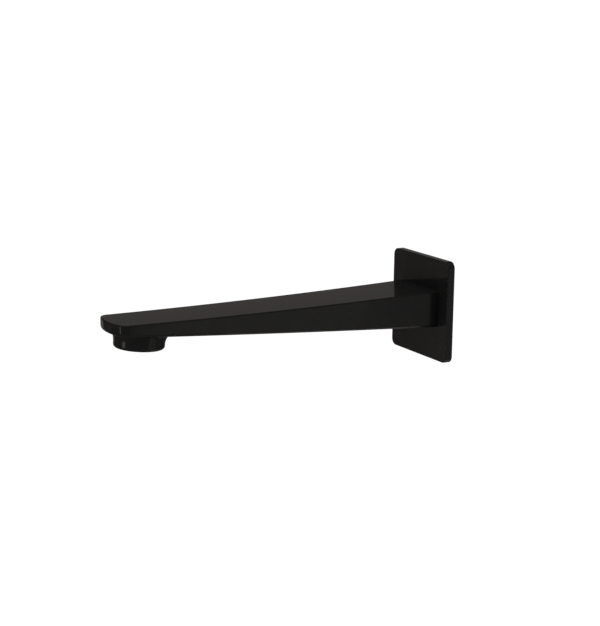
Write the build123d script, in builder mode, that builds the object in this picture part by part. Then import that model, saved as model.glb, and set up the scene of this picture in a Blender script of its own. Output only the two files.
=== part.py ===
# Wall-mounted bath spout: a tapered cast arm on a square wall plate.
# Millimetres. The wall is the plane Y = 0, the arm runs out along -Y, Z is up,
# and the origin is where the inlet axis meets the wall.
import os
from math import atan, cos, degrees, hypot, radians, sin, sqrt

from build123d import *

os.makedirs("parts", exist_ok=True)

# Wall plate
plate_width = 60.0
plate_height = 60.0
plate_thickness = 4.5
plate_corner_radius = 4.0
plate_edge_chamfer = 0.4
plate_drop = 0.9  # the plate's centre lies this far below the inlet axis
plate_rim = 4.0  # width of the rim around the gasket's recess
gasket_thickness = 2.0

# Inlet adapter, with a G 1/2 thread at the wall end and a smooth spigot in the arm
thread_radius = 10.48
thread_length = 10.0  # behind the wall face
thread_shoulder = 1.0  # in front of the wall face
spigot_radius = 7.25
spigot_reach = 28.0
adapter_bore_radius = 4.5
drive_hex_width = 10.0  # across flats
drive_hex_depth = 5.0

# Seal on the spigot
ring_reach = 17.0
ring_width = 2.4
ring_section = 1.4  # radial thickness as squeezed in the socket
ring_side_room = 0.3

# Set screw that locks the arm to the adapter
screw_radius = 2.5
screw_length = 3.0
screw_reach = 9.5
screw_hex_width = 2.5
screw_hex_depth = 1.5

# Arm
arm_reach = 204.9
root_width = 41.2
root_wall = 3.4  # over and under the inlet socket, at the plate
tip_width = 33.2  # at the tip's corners
tip_bow = 4.0  # how far the middle of the tip's end stands out past its corners
tip_thickness = 6.5
tip_rise = 3.5  # the tip's mid height above the inlet axis
top_bend = 1.2  # how far the top's two straight runs meet below the line from root to tip
underside_bend = 0.75  # the same, for the underside
bend_radius = 1000.0
tip_corner_radius = 5.2
top_edge_radius = 0.9
bottom_edge_radius = 2.1
tenon_inset = 1.6  # from the arm's outline to the tenon in the plate
tenon_corner_radius = 2.0

# Waterway inside the arm
waterway_wall = 2.2  # above and below
waterway_side_wall = 4.5
socket_land = 1.5  # from the spigot's end to the socket's end

# Outlet boss under the tip
outlet_setback = 19.6  # from the tip's end back to the outlet's axis
outlet_level = 9.8  # the boss's rim below the inlet axis
outlet_socket_radius = 11.6
outlet_socket_depth = 8.2
boss_wall = 2.65
boss_rim_radius = 2.0
boss_lead_in = 0.4
chamber_radius = 9.0
blend_radius = 5.8  # between the boss's rear and the underside
blend_front_radius = 2.4  # the same, at the boss's front
blend_side_radius = 0.3  # the same, at the boss's sides
blend_steps = 4
blend_overlap = 0.05  # how far the blend starts inside the surfaces it joins

# Outlet insert
insert_recess = 0.8  # the housing's rim above the boss's rim
outlet_seal_thickness = 1.4
outlet_seal_width = 2.2
housing_wall = 1.5
housing_lip = 1.0
lip_height = 1.0
key_notches = 2
key_notch_width = 2.6
straightener_land = 0.5
honeycomb_pitch = 3.2
honeycomb_wall = 0.6

# Clearances
socket_clearance = 0.15  # spigot in the arm's socket
plate_clearance = 0.3  # tenon in the plate, gasket in the plate
gasket_clearance = 1.1  # around the adapter's thread
screw_clearance = 0.05
insert_clearance = 0.1  # housing in the boss, straightener in the housing
seat_gap = 0.05  # between pieces that press on each other

# Values that follow from the sizes above
socket_radius = spigot_radius + socket_clearance
socket_reach = spigot_reach + socket_land
root_height = 2 * (socket_radius + root_wall)
root_top = root_height / 2
tip_top = tip_rise + tip_thickness / 2
tip_bottom = tip_rise - tip_thickness / 2
arm_length = arm_reach - plate_thickness
outlet_reach = arm_reach - outlet_setback
mid_reach = plate_thickness + arm_length / 2
tenon_width = root_width - 2 * tenon_inset
tenon_height = root_height - 2 * tenon_inset
ring_groove_radius = socket_radius - ring_section
boss_radius = outlet_socket_radius + boss_wall
boss_height = outlet_level + tip_rise
housing_radius = outlet_socket_radius - insert_clearance
housing_top = outlet_socket_depth - outlet_seal_thickness
housing_bore = housing_radius - housing_wall
straightener_radius = housing_bore - insert_clearance
straightener_level = insert_recess + lip_height

# The underside at the outlet: its height, and the slope that the boss stands square to
underside_bend_height = (tip_bottom - root_top) / 2 - underside_bend
underside_slope = (tip_bottom - underside_bend_height) / (arm_length / 2)
underside_height = tip_bottom - underside_slope * (arm_reach - outlet_reach)
outlet_tilt = atan(underside_slope)
outlet_plane = Plane(
    origin=(0, -outlet_reach, -outlet_level),
    x_dir=(1, 0, 0),
    z_dir=(0, sin(outlet_tilt), cos(outlet_tilt)),
)
underside_level = (underside_height + outlet_level) * cos(outlet_tilt)


def side_view(wall):
    """The arm seen from the side, from plate to tip, with a wall taken off top and underside."""
    with BuildSketch(Plane.YZ) as view:
        with BuildLine():
            top = FilletPolyline(
                (-plate_thickness, root_top - wall),
                (-mid_reach, (root_top + tip_top) / 2 - top_bend - wall),
                (-arm_reach, tip_top - wall),
                radius=bend_radius,
            )
            underside = FilletPolyline(
                (-plate_thickness, -root_top + wall),
                (-mid_reach, underside_bend_height + wall),
                (-arm_reach, tip_bottom + wall),
                radius=bend_radius,
            )
            Line(top @ 0, underside @ 0)
            Line(top @ 1, underside @ 1)
        make_face()
    return view.sketch


def plan_view(side_wall, start, end, corner_radius):
    """The arm's tapered outline seen from above, between two reaches: a bowed end with round corners."""
    corner = end - tip_bow
    taper = (root_width - tip_width) / 2 / (arm_length - tip_bow)
    start_half = root_width / 2 - taper * (start - plate_thickness) - side_wall
    corner_half = root_width / 2 - taper * (corner - plate_thickness) - side_wall
    with BuildSketch(Plane.XY) as view:
        with BuildLine():
            Polyline(
                (-corner_half, -corner),
                (-start_half, -start),
                (start_half, -start),
                (corner_half, -corner),
            )
            ThreePointArc((-corner_half, -corner), (0, -end), (corner_half, -corner))
        make_face()
        fillet(view.vertices().group_by(Axis.Y)[0], radius=corner_radius)
    return view.sketch


def lattice(pitch, radius):
    """Centres of a triangular lattice whose cells of that pitch lie inside a circle."""
    count = int(2 * radius / pitch) + 1
    steps = range(-count, count + 1)
    centres = [((column + row / 2) * pitch, row * pitch * sqrt(3) / 2) for row in steps for column in steps]
    return [centre for centre in centres if hypot(*centre) + pitch / sqrt(3) <= radius]


# Waterway: the arm's own outline with its walls taken off, from the socket to the outlet
with BuildPart() as waterway:
    extrude(side_view(waterway_wall), amount=root_width, both=True)
    waterway_end = outlet_reach + chamber_radius
    plan = plan_view(waterway_side_wall, socket_reach, waterway_end, chamber_radius)
    extrude(plan, amount=root_height, both=True, mode=Mode.INTERSECT)

# Blend between boss and underside: a quarter-round flare, largest behind the boss
with BuildPart() as boss_blend:
    for step in range(blend_steps + 1):
        angle = radians(90 * step / blend_steps)
        level = underside_level - blend_radius * (1 - sin(angle)) + blend_overlap
        rear, front, side = [
            boss_radius + radius * (1 - cos(angle)) - blend_overlap
            for radius in (blend_radius, blend_front_radius, blend_side_radius)
        ]
        with BuildSketch(outlet_plane.offset(level)):
            with Locations((0, (rear - front) / 2)):
                Ellipse(side, (rear + front) / 2)
    loft()

# Spout body: one casting, with its tenon, inlet socket, waterway and outlet boss
with BuildPart() as spout_body:
    extrude(side_view(0), amount=root_width, both=True)
    outline = plan_view(0, plate_thickness, arm_reach, tip_corner_radius)
    extrude(outline, amount=root_height, both=True, mode=Mode.INTERSECT)
    # Each round runs on from the tip's end along the edges that meet it smoothly, back to the root
    tip_face = spout_body.faces().sort_by(Axis.Y)[0]
    fillet(tip_face.edges().sort_by(Axis.Z)[-1], radius=top_edge_radius)
    tip_face = spout_body.faces().sort_by(Axis.Y)[0]
    fillet(tip_face.edges().sort_by(Axis.Z)[0], radius=bottom_edge_radius)
    with BuildSketch(outlet_plane):
        Circle(boss_radius)
    extrude(amount=boss_height)
    boss_rim = spout_body.edges().filter_by(GeomType.CIRCLE).sort_by(Axis.Z)[0]
    fillet(boss_rim, radius=boss_rim_radius)
    add(boss_blend.part)
    with BuildSketch(Plane.XZ.offset(gasket_thickness)):
        RectangleRounded(tenon_width, tenon_height, tenon_corner_radius)
    extrude(amount=plate_thickness - gasket_thickness)
    add(waterway.part, mode=Mode.SUBTRACT)
    with BuildSketch(Plane.XZ.offset(gasket_thickness)):
        Circle(socket_radius)
    extrude(amount=socket_reach - gasket_thickness, mode=Mode.SUBTRACT)
    with BuildSketch(outlet_plane):
        Circle(chamber_radius)
    extrude(amount=boss_height, mode=Mode.SUBTRACT)
    with BuildSketch(outlet_plane):
        Circle(outlet_socket_radius)
    extrude(amount=outlet_socket_depth, mode=Mode.SUBTRACT)
    rim_circles = spout_body.edges().filter_by(GeomType.CIRCLE).group_by(Axis.Z)[0]
    socket_mouth = rim_circles.sort_by(SortBy.LENGTH)[0]
    chamfer(socket_mouth, length=boss_lead_in)
    with BuildSketch(Plane.XY.offset(-root_height)):
        with Locations((0, -screw_reach)):
            Circle(screw_radius + screw_clearance)
    extrude(amount=root_height, mode=Mode.SUBTRACT)

# Wall plate: square, with an opening for the arm's tenon and a recess for the gasket behind
with BuildPart() as wall_plate:
    with BuildSketch(Plane.XZ):
        with Locations((0, -plate_drop)):
            RectangleRounded(plate_width, plate_height, plate_corner_radius)
    extrude(amount=plate_thickness)
    front_face = wall_plate.faces().sort_by(Axis.Y)[0]
    chamfer(front_face.edges(), length=plate_edge_chamfer)
    with BuildSketch(Plane.XZ):
        with Locations((0, -plate_drop)):
            RectangleRounded(
                plate_width - 2 * plate_rim,
                plate_height - 2 * plate_rim,
                plate_corner_radius,
            )
    extrude(amount=gasket_thickness, mode=Mode.SUBTRACT)
    with BuildSketch(Plane.XZ):
        RectangleRounded(
            tenon_width + 2 * plate_clearance,
            tenon_height + 2 * plate_clearance,
            tenon_corner_radius + plate_clearance,
        )
    extrude(amount=plate_thickness, mode=Mode.SUBTRACT)

# Plate gasket: a flat rubber sheet in the plate's recess, level with the plate's back
with BuildPart() as plate_gasket:
    with BuildSketch(Plane.XZ):
        with Locations((0, -plate_drop)):
            RectangleRounded(
                plate_width - 2 * plate_rim - 2 * plate_clearance,
                plate_height - 2 * plate_rim - 2 * plate_clearance,
                plate_corner_radius - plate_clearance,
            )
        Circle(thread_radius + gasket_clearance, mode=Mode.SUBTRACT)
    extrude(amount=gasket_thickness)

# Inlet adapter: turned in one piece, bored through, with a hexagon to drive it into the wall
with BuildPart() as inlet_adapter:
    with BuildSketch(Plane.XY):
        with BuildLine():
            Polyline(
                (adapter_bore_radius, thread_length),
                (thread_radius, thread_length),
                (thread_radius, -thread_shoulder),
                (spigot_radius, -thread_shoulder),
                (spigot_radius, -spigot_reach),
                (adapter_bore_radius, -spigot_reach),
                close=True,
            )
        make_face()
        with Locations((spigot_radius, -ring_reach)):
            Rectangle(
                2 * (spigot_radius - ring_groove_radius),
                ring_width + 2 * ring_side_room,
                mode=Mode.SUBTRACT,
            )
    revolve(axis=Axis.Y)
    with BuildSketch(Plane.XZ.offset(spigot_reach)):
        RegularPolygon(drive_hex_width / 2, 6, major_radius=False)
    extrude(amount=-drive_hex_depth, mode=Mode.SUBTRACT)

# Spigot seal: a square rubber ring between its groove in the spigot and the arm's socket
with BuildPart() as spigot_seal:
    with BuildSketch(Plane.XY):
        with Locations((socket_radius - ring_section / 2, -ring_reach)):
            Rectangle(ring_section - 2 * seat_gap, ring_width)
    revolve(axis=Axis.Y)

# Set screw: flat point against the adapter's spigot, hexagon socket below
with BuildPart() as set_screw:
    screw_end = -spigot_radius - seat_gap
    with BuildSketch(Plane.XY.offset(screw_end - screw_length)):
        with Locations((0, -screw_reach)):
            Circle(screw_radius)
    extrude(amount=screw_length)
    with BuildSketch(Plane.XY.offset(screw_end - screw_length)):
        with Locations((0, -screw_reach)):
            RegularPolygon(screw_hex_width / 2, 6, major_radius=False)
    extrude(amount=screw_hex_depth, mode=Mode.SUBTRACT)

# Outlet seal: a flat rubber washer against the boss's inner shoulder
with BuildPart() as outlet_seal:
    with BuildSketch(outlet_plane.offset(housing_top)):
        Circle(housing_radius)
        Circle(housing_radius - outlet_seal_width, mode=Mode.SUBTRACT)
    extrude(amount=outlet_seal_thickness)

# Outlet housing: a ring with an inner lip below, notched for its key
with BuildPart() as outlet_housing:
    with BuildSketch(outlet_plane.offset(insert_recess)):
        Circle(housing_radius)
    extrude(amount=housing_top - insert_recess)
    with BuildSketch(outlet_plane.offset(straightener_level)):
        Circle(housing_bore)
    extrude(amount=housing_top - straightener_level, mode=Mode.SUBTRACT)
    with BuildSketch(outlet_plane.offset(insert_recess)):
        Circle(housing_bore - housing_lip)
    extrude(amount=lip_height, mode=Mode.SUBTRACT)
    with BuildSketch(outlet_plane.offset(insert_recess)):
        with PolarLocations(housing_bore - housing_lip, key_notches):
            Rectangle(2 * housing_lip, key_notch_width)
    extrude(amount=lip_height / 2, mode=Mode.SUBTRACT)

# Flow straightener: a disc of honeycomb cells, held between the housing's lip and the seal
with BuildPart() as flow_straightener:
    with BuildSketch(outlet_plane.offset(straightener_level)):
        Circle(straightener_radius)
        cell_limit = housing_bore - housing_lip - straightener_land
        with Locations(*lattice(honeycomb_pitch, cell_limit)):
            cell_width = honeycomb_pitch - honeycomb_wall
            RegularPolygon(cell_width / 2, 6, major_radius=False, rotation=30, mode=Mode.SUBTRACT)
    extrude(amount=housing_top - straightener_level)

pieces = {
    "spout_body": spout_body,
    "wall_plate": wall_plate,
    "plate_gasket": plate_gasket,
    "inlet_adapter": inlet_adapter,
    "spigot_seal": spigot_seal,
    "set_screw": set_screw,
    "outlet_seal": outlet_seal,
    "flow_straightener": flow_straightener,
    "outlet_housing": outlet_housing,
}
for name, piece in pieces.items():
    piece.part.label = name
    export_step(piece.part, f"parts/{name}.step")
print(f"outlet tilt {degrees(outlet_tilt):.2f} deg, underside {underside_level:.2f} above the boss's rim")
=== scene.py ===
# %% [markdown]
# This lesson dresses a bath spout in satin black. The real one is a hollow casting on a square wall
# plate. The CAD model holds every piece at its real size, so the lesson loads it as a fixed frame,
# rebuilds the pieces that show with the fine roundings of the real one, and gives each piece its
# finish. Loading comes first, because everything after it is placed by the frame.

# %% Load the frame
import math

import bmesh
import bpy
from mathutils import Matrix, Vector
from mathutils.geometry import intersect_line_sphere_2d


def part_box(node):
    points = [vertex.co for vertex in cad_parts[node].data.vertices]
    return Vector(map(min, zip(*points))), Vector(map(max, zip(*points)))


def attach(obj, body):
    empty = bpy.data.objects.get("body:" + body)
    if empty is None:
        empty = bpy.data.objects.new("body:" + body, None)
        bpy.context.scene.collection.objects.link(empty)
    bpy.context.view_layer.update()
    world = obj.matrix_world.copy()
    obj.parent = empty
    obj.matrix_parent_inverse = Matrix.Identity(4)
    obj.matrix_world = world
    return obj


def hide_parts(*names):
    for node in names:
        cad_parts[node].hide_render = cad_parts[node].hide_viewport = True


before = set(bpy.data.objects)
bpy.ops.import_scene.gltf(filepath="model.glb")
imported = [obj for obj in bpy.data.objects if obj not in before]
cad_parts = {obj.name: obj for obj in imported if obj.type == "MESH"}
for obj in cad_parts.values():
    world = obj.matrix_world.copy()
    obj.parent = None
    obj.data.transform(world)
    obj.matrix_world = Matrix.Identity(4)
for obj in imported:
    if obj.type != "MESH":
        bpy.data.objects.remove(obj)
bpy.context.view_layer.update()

# %% [markdown]
# The frame knows the reach of the arm, the width and height of its root, and where the plate's front
# is. These could be typed in again, but a size that is read from the frame can't drift away from it.
# The smaller sizes come where they are first needed, in millimetres, as on the casting's drawing.

# %% Sizes from the frame
mm = 0.001
arm_low, arm_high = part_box("spout_body")
plate_low, plate_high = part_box("wall_plate")
plate_front = plate_low[1]
arm_end = arm_low[1]
arm_length = plate_front - arm_end
root_half = arm_high[0]
root_top = arm_high[2]
print(f"arm: {arm_length / mm:.1f} mm long")
print(f"its root: {2 * root_half / mm:.1f} mm wide and {2 * root_top / mm:.1f} mm high")

# %% [markdown]
# A finish is never one flat colour: its shade, its gloss and its surface all vary a little. Image
# textures could show that, but noise nodes need no files and keep their scale on a piece of any size,
# so a few small helpers build every finish here from noise. All patterns read Object coordinates,
# which are metres, so a noise scale of 1000 means grains of about a millimetre.

# %% Node helpers
NOISE_DETAIL = 3.0
NOISE_LOW, NOISE_HIGH = 0.3, 0.7


def new_finish(name):
    """A material with its shader, and a texture coordinate that follows the piece."""
    material = bpy.data.materials.new(name)
    material.use_nodes = True
    nodes = material.node_tree.nodes
    shader = nodes["Principled BSDF"]
    place = nodes.new("ShaderNodeTexCoord").outputs["Object"]
    return material, shader, place


def grain(material, place, scale):
    """A noise whose value swings about a half."""
    noise = material.node_tree.nodes.new("ShaderNodeTexNoise")
    noise.inputs["Scale"].default_value = scale
    noise.inputs["Detail"].default_value = NOISE_DETAIL
    material.node_tree.links.new(place, noise.inputs["Vector"])
    return noise.outputs["Fac"]


def tint(material, value, dark, light):
    """A colour between two near shades, led by a noise."""
    ramp = material.node_tree.nodes.new("ShaderNodeValToRGB")
    ramp.color_ramp.elements[0].position = NOISE_LOW
    ramp.color_ramp.elements[1].position = NOISE_HIGH
    ramp.color_ramp.elements[0].color = (*dark, 1.0)
    ramp.color_ramp.elements[1].color = (*light, 1.0)
    material.node_tree.links.new(value, ramp.inputs["Fac"])
    return ramp.outputs["Color"]


def spread(material, value, low, high):
    """Spreads the middle of a noise over the range from low to high."""
    ramp = material.node_tree.nodes.new("ShaderNodeMapRange")
    ramp.inputs["From Min"].default_value = NOISE_LOW
    ramp.inputs["From Max"].default_value = NOISE_HIGH
    ramp.inputs["To Min"].default_value = low
    ramp.inputs["To Max"].default_value = high
    material.node_tree.links.new(value, ramp.inputs["Value"])
    return ramp.outputs["Result"]


def ripple(material, value, height, strength):
    """A bump whose height is given in metres."""
    bump = material.node_tree.nodes.new("ShaderNodeBump")
    bump.inputs["Strength"].default_value = strength
    bump.inputs["Distance"].default_value = height
    material.node_tree.links.new(value, bump.inputs["Height"])
    return bump.outputs["Normal"]


def dress(material, shader, colour, roughness, normal):
    """Links what varies over the surface to the shader."""
    for socket, source in (("Base Color", colour), ("Roughness", roughness), ("Normal", normal)):
        material.node_tree.links.new(source, shader.inputs[socket])


print(f"finishes use the noise between {NOISE_LOW} and {NOISE_HIGH}")

# %% [markdown]
# The spout and its plate have a thin black coat over brass. It is smooth enough for the plate to
# mirror the arm, so its grain is very fine: a faint unevenness of gloss, and a ripple far under a
# tenth of a millimetre. A plain glossy black would mirror the white studio too strongly at low
# angles. A little of the metallic part with a dark Specular Tint holds that edge reflection back.

# %% Black coat
coat_dark = (0.0108, 0.0103, 0.0100)
coat_light = (0.0122, 0.0117, 0.0114)

black_coat, shader, place = new_finish("satin_black_coat")
shader.inputs["Metallic"].default_value = 0.24
shader.inputs["Specular IOR Level"].default_value = 0.0
shader.inputs["Specular Tint"].default_value = (0.46, 0.45, 0.45, 1.0)
dress(
    black_coat,
    shader,
    colour=tint(black_coat, grain(black_coat, place, scale=90), coat_dark, coat_light),
    roughness=spread(black_coat, grain(black_coat, place, scale=220), low=0.11, high=0.15),
    normal=ripple(black_coat, grain(black_coat, place, scale=1500), height=0.01 * mm, strength=0.06),
)
print("finish:", black_coat.name)

# %% [markdown]
# The nipple is turned on a lathe, so its marks run round its axis. A Wave texture could draw rings,
# but all of one kind. A noise that reads only the distance from the axis and the place along it gives
# rings that differ, as a tool leaves them.

# %% Turned brass
def lathe_place(material, place):
    """Distance from the inlet's axis and place along it, which a tool mark keeps as it goes round."""
    nodes, links = material.node_tree.nodes, material.node_tree.links
    parts = nodes.new("ShaderNodeSeparateXYZ")
    across = nodes.new("ShaderNodeCombineXYZ")
    radius = nodes.new("ShaderNodeVectorMath")
    radius.operation = "LENGTH"
    turned = nodes.new("ShaderNodeCombineXYZ")
    links.new(place, parts.inputs["Vector"])
    links.new(parts.outputs["X"], across.inputs["X"])
    links.new(parts.outputs["Z"], across.inputs["Z"])
    links.new(across.outputs["Vector"], radius.inputs[0])
    links.new(radius.outputs["Value"], turned.inputs["X"])
    links.new(parts.outputs["Y"], turned.inputs["Y"])
    return turned.outputs["Vector"]


brass, shader, place = new_finish("turned_brass")
shader.inputs["Metallic"].default_value = 1.0
place = lathe_place(brass, place)
dress(
    brass,
    shader,
    colour=tint(brass, grain(brass, place, scale=700), (0.47, 0.34, 0.15), (0.55, 0.41, 0.19)),
    roughness=spread(brass, grain(brass, place, scale=1800), low=0.26, high=0.40),
    normal=ripple(brass, grain(brass, place, scale=4000), height=0.01 * mm, strength=0.25),
)
print("finish:", brass.name)

# %% [markdown]
# The seals and the gasket are matt black rubber, and the set screw is plain steel. Both are small and
# partly hidden, so the same three noises are enough: on rubber with little gloss and a soft grain, on
# steel with the full shine of a metal.

# %% Rubber and steel
rubber, shader, place = new_finish("black_rubber")
shader.inputs["Specular IOR Level"].default_value = 0.3
dress(
    rubber,
    shader,
    colour=tint(rubber, grain(rubber, place, scale=300), (0.022, 0.022, 0.022), (0.034, 0.034, 0.033)),
    roughness=spread(rubber, grain(rubber, place, scale=600), low=0.65, high=0.85),
    normal=ripple(rubber, grain(rubber, place, scale=3000), height=0.05 * mm, strength=0.25),
)

steel, shader, place = new_finish("plain_steel")
shader.inputs["Metallic"].default_value = 1.0
dress(
    steel,
    shader,
    colour=tint(steel, grain(steel, place, scale=500), (0.42, 0.42, 0.43), (0.55, 0.55, 0.55)),
    roughness=spread(steel, grain(steel, place, scale=1500), low=0.25, high=0.4),
    normal=ripple(steel, grain(steel, place, scale=4000), height=0.01 * mm, strength=0.15),
)
print("finishes:", rubber.name, steel.name)

# %% [markdown]
# The outlet insert is moulded plastic, smooth with a slight sheen: a grey honeycomb in a black ring.
# The two differ only in their shades and their gloss, so one function makes both.

# %% Moulded plastics
def moulded_plastic(name, dark, light, gloss):
    """Plastic as it comes from a mould, in two near shades."""
    material, shader, place = new_finish(name)
    shader.inputs["Specular IOR Level"].default_value = gloss
    dress(
        material,
        shader,
        colour=tint(material, grain(material, place, scale=400), dark, light),
        roughness=spread(material, grain(material, place, scale=900), low=0.38, high=0.52),
        normal=ripple(material, grain(material, place, scale=3500), height=0.02 * mm, strength=0.2),
    )
    return material


insert_plastic = moulded_plastic(
    "grey_insert_plastic", dark=(0.14, 0.14, 0.15), light=(0.18, 0.18, 0.19), gloss=0.4
)
housing_plastic = moulded_plastic(
    "black_housing_plastic", dark=(0.020, 0.020, 0.020), light=(0.027, 0.027, 0.027), gloss=0.2
)
print("finishes:", insert_plastic.name, housing_plastic.name)

# %% [markdown]
# The spout's arm is a flat tapered bar: wide and deep at the plate, thin and narrower at the tip. Its
# end is bowed, with a tighter curve at each corner. It could be lofted between sections, but a plan
# that is drawn once and extruded is simpler. One vertex, spun about three centres in turn, draws the
# three arcs of the tip, so that each arc leaves the last without a kink.

# %% Draw the plan of the arm
tip_half = 16.6 * mm
tip_bow = 4.0 * mm
tip_corner_radius = 5.2 * mm
tip_corner_steps = 12
tip_bow_steps = 32

root_corner = Vector((root_half, plate_front))
tip_corner = Vector((tip_half, arm_end + tip_bow))
bow_radius = (tip_half**2 + tip_bow**2) / (2 * tip_bow)
bow_centre = Vector((0, arm_end + bow_radius))
along_side = (tip_corner - root_corner).normalized()
# A corner's centre lies one corner radius in from the side, and one in from the bow.
inset = tip_corner_radius * Vector((along_side.y, -along_side.x))
crossings = intersect_line_sphere_2d(
    root_corner + inset, tip_corner + inset, bow_centre, bow_radius - tip_corner_radius, False
)
corner_centre = min(crossings, key=lambda point: point.y)
bow_start = corner_centre - bow_centre
corner_turn = (-inset).angle(bow_start)
bow_turn = 2 * bow_start.angle(Vector((0, -1)))


def verts_of(geometry):
    """The vertices among what an operator hands back."""
    return [item for item in geometry if isinstance(item, bmesh.types.BMVert)]


casting = bmesh.new()
first = last = casting.verts.new((*(corner_centre - inset), 0))
for centre_x, centre_y, turn, steps in (
    (corner_centre.x, corner_centre.y, corner_turn, tip_corner_steps),
    (0, bow_centre.y, bow_turn, tip_bow_steps),
    (-corner_centre.x, corner_centre.y, corner_turn, tip_corner_steps),
):
    drawn = bmesh.ops.spin(
        casting, geom=[last], cent=(centre_x, centre_y, 0), axis=(0, 0, 1), angle=-turn, steps=steps
    )
    last = verts_of(drawn["geom_last"])[0]
root_verts = bmesh.ops.extrude_vert_indiv(casting, verts=[first, last])["verts"]
for vert in root_verts:
    vert.co = (math.copysign(root_half, vert.co.x), plate_front, 0)
bmesh.ops.contextual_create(casting, geom=root_verts)
bmesh.ops.edgeloop_fill(casting, edges=casting.edges[:])
tip_reach = -min(vert.co.y for vert in casting.verts)
print(f"plan: {len(casting.verts)} points, its tip is {tip_reach / mm:.1f} mm from the wall")

# %% [markdown]
# The plan is extruded and cut across into short runs, and every point then goes to the height that
# the arm has there. Its top and its underside sag a little between root and tip, so they are not
# quite flat, and the light moves along them as it does on the real one. A lattice could bend the bar
# as well, but a formula puts each point just where the drawing has it.

# %% Give the arm its heights
tip_top = 6.75 * mm
tip_bottom = 0.25 * mm
top_sag = 1.05 * mm
underside_sag = 0.57 * mm
run_length = 10 * mm


def along(y, root_z, tip_z, sag):
    """Height of a line from root to tip that sags between its ends."""
    share = (plate_front - y) / arm_length
    return root_z + (tip_z - root_z) * share - 4 * sag * share * (1 - share)


def top_at(y):
    return along(y, root_top, tip_top, top_sag)


def underside_at(y):
    return along(y, -root_top, tip_bottom, underside_sag)


raised = bmesh.ops.extrude_face_region(casting, geom=casting.faces[:])["geom"]
bmesh.ops.translate(casting, vec=(0, 0, root_top), verts=verts_of(raised))
bmesh.ops.recalc_face_normals(casting, faces=casting.faces[:])
runs = int(arm_length / run_length)
for run in range(1, runs + 1):
    bmesh.ops.bisect_plane(
        casting,
        geom=casting.verts[:] + casting.edges[:] + casting.faces[:],
        plane_co=(0, plate_front - run * run_length, 0),
        plane_no=(0, 1, 0),
    )
for vert in casting.verts:
    vert.co.z = top_at(vert.co.y) if vert.co.z > root_top / 2 else underside_at(vert.co.y)
print(f"{runs} cuts along the arm, {len(casting.faces)} faces")

# %% [markdown]
# The long edges are rounded next: finely along the top, and more softly underneath, as the pattern
# for a casting would be. A Bevel modifier would round them all alike, so the bevel operator takes the
# two outlines in turn. Only the edges between a level face and an upright one are rounded, and the
# root stays square, because it lies against the plate.

# %% Round the long edges
MERGE = 0.001 * mm  # points nearer than this count as one
top_edge_radius = 0.9 * mm
top_edge_steps = 5
bottom_edge_radius = 2.1 * mm
bottom_edge_steps = 8
sharp_turn = math.radians(60)


def round_off(bm, edges, radius, steps):
    """Bevels edges to a round."""
    bmesh.ops.bevel(
        bm,
        geom=edges,
        offset=radius,
        offset_type="OFFSET",
        affect="EDGES",
        segments=steps,
        profile=0.5,
        material=-1,
    )


def lies_at(element, y):
    """Whether an edge or a face lies in the plane at y."""
    return all(abs(vert.co.y - y) < MERGE for vert in element.verts)


def outline_edges(bm, upper):
    """The edges around the arm's top, or around its underside, but not along the root."""
    bm.normal_update()
    found = []
    for edge in bm.edges:
        centre = (edge.verts[0].co + edge.verts[1].co) / 2
        middle = (top_at(centre.y) + underside_at(centre.y)) / 2
        on_side = (centre.z > middle) == upper
        if on_side and not lies_at(edge, plate_front) and edge.calc_face_angle(0.0) > sharp_turn:
            found.append(edge)
    return found


for upper, radius, steps in (
    (True, top_edge_radius, top_edge_steps),
    (False, bottom_edge_radius, bottom_edge_steps),
):
    edges = outline_edges(casting, upper)
    round_off(casting, edges, radius, steps)
    print(f"{'top' if upper else 'underside'}: {len(edges)} edges rounded to {radius / mm:.1f} mm")

# %% [markdown]
# A small set screw under the root locks the arm to the nipple that it is pushed on. A Boolean could
# cut its hole, but here a few operators do it cleanly: four cuts mark off a square in the underside,
# the square is taken out, and a bridge joins the square's edge to a circle. The circle is then sunk
# to make the wall of the hole.

# %% Hole for the set screw
screw_y = -9.5 * mm
screw_hole_radius = 2.55 * mm
screw_hole_top = -7.41 * mm
screw_hole_steps = 48
patch_half = 3.6 * mm
facing_down = -0.9  # a normal whose Z is under this points down


def edges_of(geometry):
    """The edges among what an operator hands back."""
    return [item for item in geometry if isinstance(item, bmesh.types.BMEdge)]


def edges_between(bm, verts):
    """The edges that join vertices of a set to each other."""
    chosen = set(verts)
    return [edge for edge in bm.edges if edge.verts[0] in chosen and edge.verts[1] in chosen]


def face_under(bm, y):
    """The face of the underside that holds a point of the centre line."""
    bm.normal_update()
    for face in bm.faces:
        across = [vert.co.x for vert in face.verts]
        reach = [vert.co.y for vert in face.verts]
        around_point = min(across) < 0 < max(across) and min(reach) < y < max(reach)
        if around_point and face.normal.z < facing_down:
            return face


for x, y, normal in (
    (patch_half, 0, (1, 0, 0)),
    (-patch_half, 0, (1, 0, 0)),
    (0, screw_y + patch_half, (0, 1, 0)),
    (0, screw_y - patch_half, (0, 1, 0)),
):
    patch = face_under(casting, screw_y)
    bmesh.ops.bisect_plane(
        casting, geom=patch.verts[:] + patch.edges[:] + [patch], plane_co=(x, y, 0), plane_no=normal
    )
patch = face_under(casting, screw_y)
square = patch.edges[:]
bmesh.ops.delete(casting, geom=[patch], context="FACES_ONLY")
hole = bmesh.ops.create_circle(casting, segments=screw_hole_steps, radius=screw_hole_radius)["verts"]
bmesh.ops.translate(casting, vec=(0, screw_y, 0), verts=hole)
for vert in hole:
    vert.co.z = underside_at(vert.co.y)
hole_rim = edges_between(casting, hole)
bmesh.ops.bridge_loops(casting, edges=square + hole_rim)
sunk = bmesh.ops.extrude_edge_only(casting, edges=hole_rim)["geom"]
for vert in verts_of(sunk):
    vert.co.z = screw_hole_top
bmesh.ops.edgeloop_fill(casting, edges=[edge for edge in edges_of(sunk) if edge.is_boundary])
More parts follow.
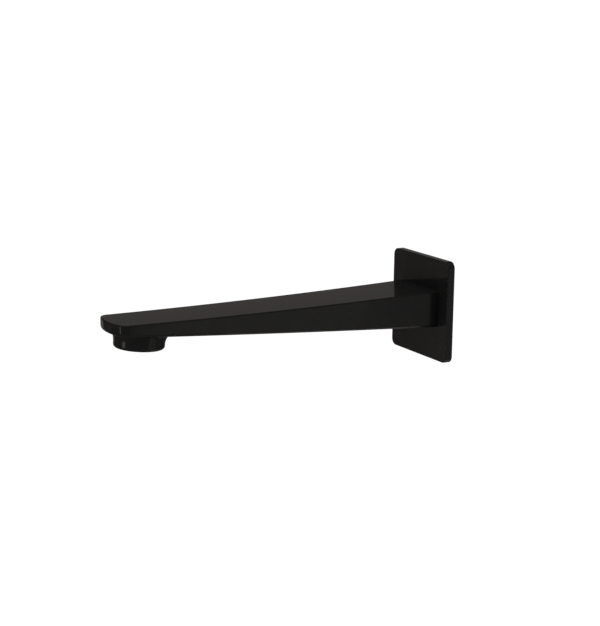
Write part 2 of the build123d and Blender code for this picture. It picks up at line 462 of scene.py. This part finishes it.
print(f"set screw hole, {2 * screw_hole_radius / mm:.1f} mm wide, {-screw_y / mm:.1f} mm from the wall")

# %% [markdown]
# A short round boss hangs under the tip, square to the underside and so tilted a little. Behind it
# the casting runs into the arm in a wide curve, in front in a tight one, and at its sides hardly at
# all. Spin would make it round all over, so it is a chain of rings instead: each ring is extruded
# from the last and laid on its own ellipse.

# %% Place of the boss, and how its rings are made
outlet_axis_y = arm_end + 19.6 * mm
outlet_level = -9.8 * mm
# The underside's outer half, which starts this much below a straight line, sets the tilt.
underside_bend = 0.75 * mm
outlet_tilt = math.atan(((tip_bottom + root_top) / 2 + underside_bend) / (arm_length / 2))
to_outlet = Matrix.Translation((0, outlet_axis_y, outlet_level)) @ Matrix.Rotation(-outlet_tilt, 4, "X")
under_arm = (underside_at(outlet_axis_y) - outlet_level) * math.cos(outlet_tilt)
ring_steps = 96


def start_ring(bm, radius, level):
    """A bare circle, which the next ring is extruded from."""
    verts = bmesh.ops.create_circle(bm, segments=ring_steps, radius=radius)["verts"]
    bmesh.ops.translate(bm, vec=(0, 0, level), verts=verts)
    return verts, (radius, radius, 0.0, level)


def next_ring(bm, ring, half_x, half_y, centre_y, level):
    """Extrudes a ring and lays the new one on an ellipse at a level."""
    verts, (last_x, last_y, last_centre, last_level) = ring
    made = verts_of(bmesh.ops.extrude_edge_only(bm, edges=edges_between(bm, verts))["geom"])
    lay = (
        Matrix.Translation((0, centre_y, level))
        @ Matrix.Diagonal((half_x / last_x, half_y / last_y, 1, 1))
        @ Matrix.Translation((0, -last_centre, -last_level))
    )
    bmesh.ops.transform(bm, matrix=lay, verts=made)
    return made, (half_x, half_y, centre_y, level)


print(f"boss: hangs {under_arm / mm:.1f} mm below the arm, tilted {math.degrees(outlet_tilt):.2f} degrees")

# %% [markdown]
# The chain starts in the chamber inside the arm. It runs down the bore, round the rim and up the
# outside, follows the blend into the arm, and closes on its own start, a little above the underside.

# %% Turn the boss
boss_radius = 14.25 * mm
boss_rim_radius = 2.0 * mm
boss_rim_steps = 8
outlet_socket_radius = 11.6 * mm
outlet_socket_depth = 8.2 * mm
chamber_radius = 9.0 * mm
lead_in = 0.4 * mm
flare_rear, flare_front, flare_side = 5.8 * mm, 2.4 * mm, 0.3 * mm
flare_steps = 12
chamber_top = under_arm + 0.4 * mm
flare_top = under_arm + 0.3 * mm

boss = bmesh.new()
ring = start_ring(boss, chamber_radius, chamber_top)
for radius, level in (
    (chamber_radius, outlet_socket_depth),
    (outlet_socket_radius, outlet_socket_depth),
    (outlet_socket_radius, lead_in),
    (outlet_socket_radius + lead_in, 0),
):
    ring = next_ring(boss, ring, radius, radius, 0, level)
for step in range(boss_rim_steps + 1):
    turn = math.pi / 2 * step / boss_rim_steps
    radius = boss_radius - boss_rim_radius * (1 - math.sin(turn))
    ring = next_ring(boss, ring, radius, radius, 0, boss_rim_radius * (1 - math.cos(turn)))
for step in range(flare_steps + 1):
    turn = math.pi / 2 * step / flare_steps
    rear, front, side = [
        boss_radius + flare * (1 - math.cos(turn)) for flare in (flare_rear, flare_front, flare_side)
    ]
    level = under_arm - flare_rear * (1 - math.sin(turn))
    ring = next_ring(boss, ring, side, (rear + front) / 2, (rear - front) / 2, level)
ring = next_ring(boss, ring, side, (rear + front) / 2, (rear - front) / 2, flare_top)
next_ring(boss, ring, chamber_radius, chamber_radius, 0, chamber_top)
bmesh.ops.transform(boss, matrix=to_outlet, verts=boss.verts[:])
print(f"boss: {len(boss.faces)} faces, {2 * boss_radius / mm:.1f} mm across")

# %% [markdown]
# Where the arm meets the plate it steps in to a tenon, which the plate's opening holds. The tenon,
# the opening and the plate itself all have round corners, so one helper serves them all: a sleeve,
# which is a block with four bevelled edges and both ends taken off.

# %% A sleeve with round corners
corner_steps = 10
front_round_steps = 4


def sleeve(bm, half_width, half_height, centre_z, front, back, corner, front_round=0.0):
    """An open tube with round corners between two planes across Y."""
    others = set(bm.verts)
    block = bmesh.ops.create_cube(bm, size=2.0)["verts"]
    size = Matrix.Diagonal((half_width, (back - front) / 2, half_height, 1))
    centre = Matrix.Translation((0, (front + back) / 2, centre_z))
    bmesh.ops.transform(bm, matrix=centre @ size, verts=block)
    block_edges = edges_between(bm, block)
    corners = [edge for edge in block_edges if not (lies_at(edge, front) or lies_at(edge, back))]
    round_off(bm, corners, corner, corner_steps)
    if front_round:
        own_edges = [edge for edge in bm.edges if others.isdisjoint(edge.verts)]
        front_edges = [edge for edge in own_edges if lies_at(edge, front)]
        round_off(bm, front_edges, front_round, front_round_steps)
    own_faces = [face for face in bm.faces if others.isdisjoint(face.verts)]
    ends = [face for face in own_faces if lies_at(face, front) or lies_at(face, back)]
    bmesh.ops.delete(bm, geom=ends, context="FACES_ONLY")


print(f"a sleeve's corner is rounded in {corner_steps} steps")

# %% [markdown]
# The tenon is such a sleeve, and it is bored for the inlet: a circle at its back is extruded inwards
# to make the socket. A bridge between two loops with different numbers of points can twist, so the
# flat faces between the loops are closed by a triangle fill.

# %% Tenon and inlet socket
tenon_back = -2.0 * mm
tenon_inset = 1.6 * mm
tenon_corner = 2.0 * mm
tenon_half = root_half - tenon_inset
tenon_half_height = root_top - tenon_inset
socket_radius = 7.4 * mm
socket_end = -29.5 * mm
socket_steps = 64


def fill_flat(bm, y):
    """Closes the face between the open loops in the plane at y."""
    loops = [edge for edge in bm.edges if edge.is_boundary and lies_at(edge, y)]
    bmesh.ops.triangle_fill(bm, use_beauty=True, edges=loops)


def circle_across(bm, steps, radius, y):
    """A bare circle round the inlet's axis. Returns its edges."""
    verts = bmesh.ops.create_circle(bm, segments=steps, radius=radius)["verts"]
    across = Matrix.Translation((0, y, 0)) @ Matrix.Rotation(math.pi / 2, 4, "X")
    bmesh.ops.transform(bm, matrix=across, verts=verts)
    return edges_between(bm, verts)


root_faces = [face for face in casting.faces if lies_at(face, plate_front)]
bmesh.ops.delete(casting, geom=root_faces, context="FACES_ONLY")
sleeve(casting, tenon_half, tenon_half_height, 0, plate_front, tenon_back, tenon_corner)
fill_flat(casting, plate_front)
socket_rim = circle_across(casting, socket_steps, socket_radius, tenon_back)
sunk = bmesh.ops.extrude_edge_only(casting, edges=socket_rim)["geom"]
bmesh.ops.translate(casting, vec=(0, socket_end - tenon_back, 0), verts=verts_of(sunk))
bmesh.ops.contextual_create(casting, geom=[edge for edge in edges_of(sunk) if edge.is_boundary])
fill_flat(casting, tenon_back)
print(f"tenon and socket: {len(casting.faces)} faces in the casting")

# %% [markdown]
# Every new piece ends in the same way: doubles are merged, the faces turn outwards, and edges
# sharper than a set angle stay sharp. Plain smooth shading would then bend the light near every
# edge, so a Weighted Normal modifier keeps the flat faces flat up to their rounded edges, which a
# mirror-like coat would show at once.

# %% Finish a piece
CREASE = math.radians(40)


def add_object(name, data):
    """Puts a mesh, a lamp or a camera into the scene."""
    thing = bpy.data.objects.new(name, data)
    bpy.context.scene.collection.objects.link(thing)
    return thing


def make_piece(bm, name, node, material):
    """Turns a bmesh into the object that stands for a CAD node."""
    bmesh.ops.remove_doubles(bm, verts=bm.verts[:], dist=MERGE)
    bmesh.ops.recalc_face_normals(bm, faces=bm.faces[:])
    for face in bm.faces:
        face.smooth = True
    for edge in bm.edges:
        edge.smooth = edge.calc_face_angle(0.0) < CREASE
    open_edges = sum(not edge.is_manifold for edge in bm.edges)
    mesh = bpy.data.meshes.new(name)
    bm.to_mesh(mesh)
    bm.free()
    mesh.materials.append(material)
    piece = add_object(name, mesh)
    normals = piece.modifiers.new("flat_faces_stay_flat", "WEIGHTED_NORMAL")
    normals.keep_sharp = True
    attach(piece, "root")
    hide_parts(node)
    print(f"{name}: {len(mesh.polygons)} faces, {open_edges} open edges")


print(f"edges that turn by {math.degrees(CREASE):.0f} degrees or more stay sharp")

# %% [markdown]
# Arm and boss are one casting, so they become one piece. The boss is a closed ring whose top reaches
# a little into the arm. A Boolean could weld the two, but it would spoil the even rings of the blend,
# and the join is hidden inside, so the two shells simply share one mesh.

# %% Join arm and boss
boss_mesh = bpy.data.meshes.new("boss")
boss.to_mesh(boss_mesh)
boss.free()
casting.from_mesh(boss_mesh)
bpy.data.meshes.remove(boss_mesh)
make_piece(casting, "spout_casting", "spout_body", black_coat)

# %% [markdown]
# The wall plate is a square of thick sheet with round corners and a soft front edge. A recess behind
# it takes the gasket, and an opening takes the arm's tenon. Booleans could cut both out of a block,
# but three sleeves are simpler: they give the outside, the recess and the opening, and flat fills
# close the faces between their rims.

# %% Wall plate
plate_corner = 4.0 * mm
plate_edge = 0.5 * mm
plate_rim = 4.0 * mm
plate_clearance = 0.3 * mm
plate_half = plate_high[0]
plate_mid_z = (plate_low[2] + plate_high[2]) / 2
plate_half_height = (plate_high[2] - plate_low[2]) / 2
recess_half = plate_half - plate_rim
recess_half_height = plate_half_height - plate_rim
recess_floor = -2.0 * mm
plate_back = 0.0

plate = bmesh.new()
sleeve(
    plate, plate_half, plate_half_height, plate_mid_z, plate_front, plate_back, plate_corner, plate_edge
)
sleeve(plate, recess_half, recess_half_height, plate_mid_z, recess_floor, plate_back, plate_corner)
sleeve(
    plate,
    tenon_half + plate_clearance,
    tenon_half_height + plate_clearance,
    0,
    plate_front,
    recess_floor,
    tenon_corner + plate_clearance,
)
for level in (plate_front, recess_floor, plate_back):
    fill_flat(plate, level)
make_piece(plate, "plate", "wall_plate", black_coat)

# %% [markdown]
# Behind the plate, a brass nipple screws into the wall with a half-inch pipe thread: fourteen turns
# to the inch. A lathe cuts it with a shaped tool that moves on by one pitch in each turn. Spin does
# the same with its dvec: a profile one pitch long is turned and moved along, and the edge of each
# turn meets the last one. The ends are cut off square, and the free end gets a chamfer.

# %% Cut the thread
inch = 25.4 * mm
turns_per_inch = 14
thread_pitch = inch / turns_per_inch
thread_crest = 10.46 * mm
thread_depth = 1.16 * mm
thread_start, thread_end = 0.8 * mm, 10.0 * mm
thread_chamfer = 1.3 * mm
turn_steps = 72
# One flank from root to crest, as shares of the pitch and of the depth. The other is its mirror image.
flank = [(0, 0), (0.05, 0), (0.13, 0.09), (0.37, 0.91), (0.45, 1)]
thread_shape = flank + [(1 - share, height) for share, height in reversed(flank)]


def draw_profile(bm, points):
    """A line of edges through points, each given as its radius and its place along Y."""
    drawn = [bm.verts.new((*points[0], 0))]
    for point in points[1:]:
        drawn += bmesh.ops.extrude_vert_indiv(bm, verts=drawn[-1:])["verts"]
        drawn[-1].co = (*point, 0)
    return drawn + edges_between(bm, drawn)


nipple = bmesh.new()
tool = draw_profile(
    nipple,
    [
        (thread_crest - thread_depth * (1 - height), thread_start + (share - 1) * thread_pitch)
        for share, height in thread_shape
    ],
)
turns = math.ceil((thread_end - thread_start) / thread_pitch) + 1
bmesh.ops.spin(
    nipple,
    geom=tool,
    cent=(0, 0, 0),
    axis=(0, 1, 0),
    dvec=(0, thread_pitch / turn_steps, 0),
    angle=2 * math.pi * turns,
    steps=turn_steps * turns,
)
bmesh.ops.remove_doubles(nipple, verts=nipple.verts[:], dist=MERGE)
chamfer_start = thread_end - thread_chamfer
for level, outwards, cut_off in (
    (thread_start, -1, True),
    (thread_end, 1, True),
    (chamfer_start, 1, False),
):
    bmesh.ops.bisect_plane(
        nipple,
        geom=nipple.verts[:] + nipple.edges[:] + nipple.faces[:],
        plane_co=(0, level, 0),
        plane_no=(0, outwards, 0),
        clear_outer=cut_off,
    )
for vert in nipple.verts:
    limit = thread_crest - max(0, vert.co.y - chamfer_start)
    shrink = min(1, limit / math.hypot(vert.co.x, vert.co.z))
    vert.co.x *= shrink
    vert.co.z *= shrink
print(f"thread: {turns} turns of {thread_pitch / mm:.3f} mm before its ends are cut off")

# %% [markdown]
# The rest of the nipple is turned from two more profiles: outside, the collar and the smooth spigot
# with its groove for the seal, and inside, the bore. The hexagon at the spigot's end takes the key
# that drives it into the wall. Flat fills close the faces between the loops.

# %% Turn the collar, spigot and bore
collar_radius, collar_end = 10.48 * mm, -1.0 * mm
spigot_radius, spigot_end = 7.25 * mm, -28.0 * mm
groove_radius, groove_middle, groove_half = 6.0 * mm, -17.0 * mm, 1.5 * mm
bore_radius, bore_end = 4.5 * mm, -23.0 * mm
soft_edge = 0.4 * mm
key_width = 10.0 * mm
key_sides = 6
key_radius = key_width / 2 / math.cos(math.pi / key_sides)

outside = (
    (collar_radius, thread_start),
    (collar_radius, collar_end + soft_edge),
    (collar_radius - soft_edge, collar_end),
    (spigot_radius, collar_end),
    (spigot_radius, groove_middle + groove_half),
    (groove_radius, groove_middle + groove_half),
    (groove_radius, groove_middle - groove_half),
    (spigot_radius, groove_middle - groove_half),
    (spigot_radius, spigot_end + soft_edge),
    (spigot_radius - soft_edge, spigot_end),
)
inside = (
    (bore_radius + soft_edge, thread_end),
    (bore_radius, thread_end - soft_edge),
    (bore_radius, bore_end),
)
for points in (outside, inside):
    bmesh.ops.spin(
        nipple,
        geom=draw_profile(nipple, points),
        cent=(0, 0, 0),
        axis=(0, 1, 0),
        angle=2 * math.pi,
        steps=turn_steps,
        use_merge=True,
    )
key_rim = circle_across(nipple, key_sides, key_radius, spigot_end)
sunk = bmesh.ops.extrude_edge_only(nipple, edges=key_rim)["geom"]
bmesh.ops.translate(nipple, vec=(0, bore_end - spigot_end, 0), verts=verts_of(sunk))
for level in (thread_end, thread_start, bore_end, spigot_end):
    fill_flat(nipple, level)
make_piece(nipple, "inlet_nipple", "inlet_adapter", brass)

# %% [markdown]
# The gasket, the seals, the set screw and the two plastic pieces of the outlet already have their
# true shapes in the CAD model, down to the honeycomb. They could be modelled again, but nothing would
# look better for it, so they keep their meshes and only get their finishes.

# %% CAD nodes that stay
stays = {
    "plate_gasket": rubber,
    "spigot_seal": rubber,
    "outlet_seal": rubber,
    "set_screw": steel,
    "flow_straightener": insert_plastic,
    "outlet_housing": housing_plastic,
}
for node, material in stays.items():
    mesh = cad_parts[node].data
    mesh.materials.clear()
    mesh.materials.append(material)
print("CAD nodes kept:", sorted(stays))

# %% [markdown]
# The photograph is a product shot on white, with no floor line and no shadow in the frame, so the
# spout hangs well above a wide pale floor. More light could make the floor white, but it would fall
# on the spout too. So the floor glows a little for the rays that see it, which makes it white, and
# its own shade keeps the soft shadow far below.

# %% Floor
floor_drop = 0.8
floor_size = 60.0
floor_shade = 0.5
floor_glow = 0.76


def seen_rays(tree):
    """One for rays that see a surface or its mirror image, nought for rays that only light."""
    rays = tree.nodes.new("ShaderNodeLightPath")
    seen = rays.outputs["Is Camera Ray"]
    for ray in ("Is Glossy Ray", "Is Transmission Ray"):
        add = tree.nodes.new("ShaderNodeMath")
        add.operation = "ADD"
        add.use_clamp = True
        tree.links.new(seen, add.inputs[0])
        tree.links.new(rays.outputs[ray], add.inputs[1])
        seen = add.outputs["Value"]
    return seen


floor_bm = bmesh.new()
bmesh.ops.create_grid(floor_bm, x_segments=1, y_segments=1, size=floor_size)
bmesh.ops.translate(floor_bm, vec=(0, 0, -floor_drop), verts=floor_bm.verts[:])
floor_mesh = bpy.data.meshes.new("studio_floor")
floor_bm.to_mesh(floor_mesh)
floor_bm.free()
floor = add_object("studio_floor", floor_mesh)

floor_paint = bpy.data.materials.new("floor_paint")
floor_paint.use_nodes = True
nodes, links = floor_paint.node_tree.nodes, floor_paint.node_tree.links
floor_shader = nodes["Principled BSDF"]
floor_shader.inputs["Base Color"].default_value = (floor_shade, floor_shade, floor_shade, 1.0)
floor_shader.inputs["Specular IOR Level"].default_value = 0.0
floor_shader.inputs["Roughness"].default_value = 1.0
floor_shader.inputs["Emission Color"].default_value = (1.0, 1.0, 1.0, 1.0)
glow = nodes.new("ShaderNodeMath")
glow.operation = "MULTIPLY"
glow.inputs[1].default_value = floor_glow
links.new(seen_rays(floor_paint.node_tree), glow.inputs[0])
links.new(glow.outputs["Value"], floor_shader.inputs["Emission Strength"])
floor_mesh.materials.append(floor_paint)
print(f"floor: {floor_drop:.1f} m below the inlet")

# %% [markdown]
# The world is white in the same way: full white for the rays that see it, and about half of that for
# the rays that light the spout, so that the background is white and the coat stays dark.

# %% World
world_light = 0.55

world = bpy.data.worlds.new("studio_air")
bpy.context.scene.world = world
world.use_nodes = True
air = world.node_tree.nodes["Background"]
air.inputs["Color"].default_value = (1.0, 1.0, 1.0, 1.0)
strength = world.node_tree.nodes.new("ShaderNodeMapRange")
strength.inputs["To Min"].default_value = world_light
strength.inputs["To Max"].default_value = 1.0
world.node_tree.links.new(seen_rays(world.node_tree), strength.inputs["Value"])
world.node_tree.links.new(strength.outputs["Result"], air.inputs["Strength"])
print(f"world: white to look at, {world_light} as a light")

# %% [markdown]
# A dark coat shows what stands around it more than what lights it. Three lamps would light it, but
# here each softbox is placed by the face that mirrors it: the rear one for the top of the arm, those
# at the right for its side, those at the left for the plate and the end, the narrow one in front for
# the lines of light on the tip's corner and the boss, and the one below for the soft lower edge. The
# rear one is faintly red, as the top is in the photograph, and the one overhead is a plain fill.

# %% Softboxes
panel_distance = 1.5
faint_red = (1.0, 0.82, 0.82)
spout_middle = Vector((0, (plate_front + arm_end) / 2, 0))
under_middle = spout_middle + Vector((-0.15, 0.36, -0.6))
straight_up = Vector((0, 0, 1))


def direction(azimuth, elevation):
    """The way out from the spout, in degrees: azimuth 0 is in front of its tip, 90 at its right."""
    a, e = math.radians(azimuth), math.radians(elevation)
    return Vector((math.sin(a) * math.cos(e), -math.cos(a) * math.cos(e), math.sin(e)))


def around(azimuth, elevation, distance=panel_distance):
    """A place around the middle of the spout."""
    return spout_middle + distance * direction(azimuth, elevation)


def softbox(name, place, width, height, power, aim=spout_middle, colour=(1, 1, 1)):
    """A rectangular lamp at a place, turned to face a point. Its sizes are in metres."""
    lamp = bpy.data.lights.new(name, "AREA")
    lamp.shape = "RECTANGLE"
    lamp.size, lamp.size_y = width, height
    lamp.energy = power
    lamp.color = colour
    holder = add_object(name, lamp)
    holder.location = place
    holder.rotation_euler = (aim - place).to_track_quat("-Z", "Y").to_euler()
    print(f"{name}: {width} m by {height} m, {power} W")


softbox("overhead", Vector((0.2, -0.2, 1.6)), width=1.4, height=1.4, power=12.0)
softbox("front_strip", around(-4.7, -8), width=0.36, height=0.5, power=7.6)
softbox("rear_panel", around(-118, 16, 2.0), width=1.8, height=1.0, power=3.2, colour=faint_red)
softbox("right_panel", around(114, -12), width=0.35, height=0.8, power=2.0)
softbox("right_rear_panel", around(131, -12), width=0.42, height=0.8, power=1.5)
softbox("left_panel", around(-53, -10), width=0.5, height=0.8, power=3.0)
softbox("left_end_panel", around(-78, -12), width=0.34, height=0.6, power=2.5)
softbox("under_panel", under_middle, width=0.9, height=0.36, power=9.0, aim=under_middle + straight_up)

# %% [markdown]
# The camera stands in front and to the right, a little above, as in the photograph. It could be set
# by eye, but then the arm's length and taper would never quite agree. Its distance and angles come
# from fitting the plate's corners and the arm's edges in the picture to their real sizes.

# %% Camera
image_width, image_height = 600, 626
focal_pixels = 1700
camera_azimuth, camera_elevation, camera_roll = 61.427, 11.81, 0.866
camera_distance = 0.9432
camera_target = Vector((26.96, -99.92, 7.34)) * mm

back = direction(camera_azimuth, camera_elevation)
right = direction(camera_azimuth + 90, 0)
level_turn = Matrix((right, back.cross(right), back)).transposed().to_4x4()
camera_data = bpy.data.cameras.new("camera")
camera_data.sensor_width = 36.0
camera_data.lens = focal_pixels * camera_data.sensor_width / max(image_width, image_height)
camera = add_object("camera", camera_data)
camera.matrix_world = (
    Matrix.Translation(camera_target + back * camera_distance)
    @ level_turn
    @ Matrix.Rotation(math.radians(camera_roll), 4, "Z")
)
bpy.context.scene.camera = camera
bpy.context.scene.view_settings.view_transform = "Standard"
camera_place = [round(c, 3) for c in camera.matrix_world.translation]
print(f"camera at {camera_place}, lens {camera_data.lens:.2f} mm")
